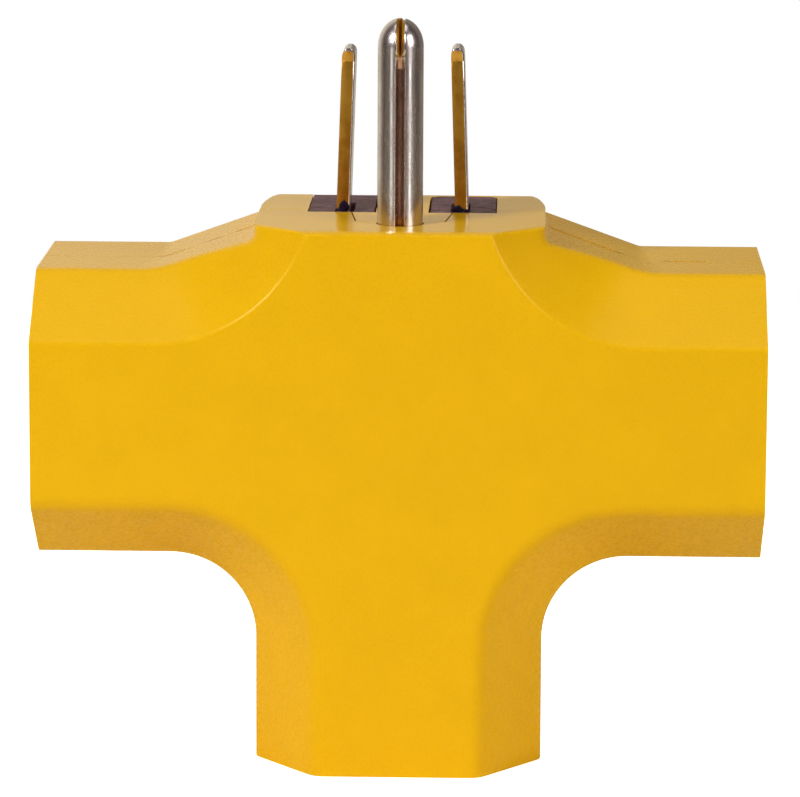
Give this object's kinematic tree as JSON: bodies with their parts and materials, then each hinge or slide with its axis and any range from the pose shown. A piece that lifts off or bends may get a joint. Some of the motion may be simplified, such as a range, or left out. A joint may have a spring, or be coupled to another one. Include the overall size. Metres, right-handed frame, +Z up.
{
  "type": "three-outlet plug adapter",
  "caption": "Moulded T-shaped grounded tap: a blade plug on top feeds an outlet at the end of each side arm and one at the foot.",
  "frame": {"origin": "centre of the bottom outlet's face, which is the bottom of the bounding box", "axes": "+Z up along the plug blades, +X along the right side arm, +Y from the front (ground pin side) to the flat back"},
  "size_m": [0.077, 0.0286, 0.0798],
  "materials": {
    "yellow_plastic": "fine matt moulded texture",
    "brown_plastic": "smooth, slightly glossy",
    "nickel_plate": "nickel-plated, with raw brass at the cut edges",
    "bare_brass": "bare rolled strip",
    "grey_fibre": "pressed insulating sheet"
  },
  "bodies": {
    "root": {"front_shell": "yellow_plastic", "rear_shell": "yellow_plastic", "pin_bridge": "yellow_plastic", "outlet_block_bottom": "yellow_plastic", "outlet_block_left": "yellow_plastic", "outlet_block_right": "yellow_plastic", "blade_holder": "brown_plastic", "strip_carrier": "brown_plastic", "hot_blade": "nickel_plate", "neutral_blade": "nickel_plate", "ground_pin": "nickel_plate", "hot_blade_rivet": "nickel_plate", "neutral_blade_rivet": "nickel_plate", "hot_rivet_bottom": "nickel_plate", "neutral_rivet_bottom": "nickel_plate", "ground_rivet_bottom": "nickel_plate", "hot_rivet_left": "nickel_plate", "neutral_rivet_left": "nickel_plate", "ground_rivet_left": "nickel_plate", "hot_rivet_right": "nickel_plate", "neutral_rivet_right": "nickel_plate", "ground_rivet_right": "nickel_plate", "hot_strip": "bare_brass", "neutral_strip": "bare_brass", "ground_strap": "bare_brass", "hot_clip_bottom": "bare_brass", "neutral_clip_bottom": "bare_brass", "ground_clip_bottom": "bare_brass", "hot_clip_left": "bare_brass", "neutral_clip_left": "bare_brass", "ground_clip_left": "bare_brass", "hot_clip_right": "bare_brass", "neutral_clip_right": "bare_brass", "ground_clip_right": "bare_brass", "fibre_barrier": "grey_fibre"}
  },
  "joints": []
}
